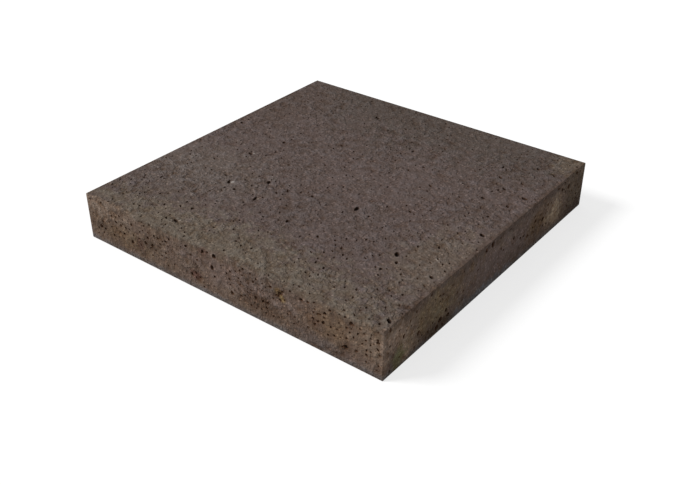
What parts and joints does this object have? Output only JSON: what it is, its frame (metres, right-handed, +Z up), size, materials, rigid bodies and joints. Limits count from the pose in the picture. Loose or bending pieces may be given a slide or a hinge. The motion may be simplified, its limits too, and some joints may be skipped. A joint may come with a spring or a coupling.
{
  "type": "concrete paving slab",
  "caption": "Square paving slab of dark taupe vibrated concrete with straight sides, crisp arrises and open air bubbles on its cast faces, laid flat for paths and terraces.",
  "frame": {"origin": "centre of the bedding face, the underside that lies on the ground", "axes": "+Z up through the thickness, +X and +Y along the sides; the face at -Y is the front"},
  "size_m": [0.5, 0.5, 0.07],
  "materials": {
    "concrete": "vibrated concrete as it left the mould, dark taupe, matt, with open air bubbles and sand grain"
  },
  "bodies": {
    "root": {"slab": "concrete"}
  },
  "joints": []
}
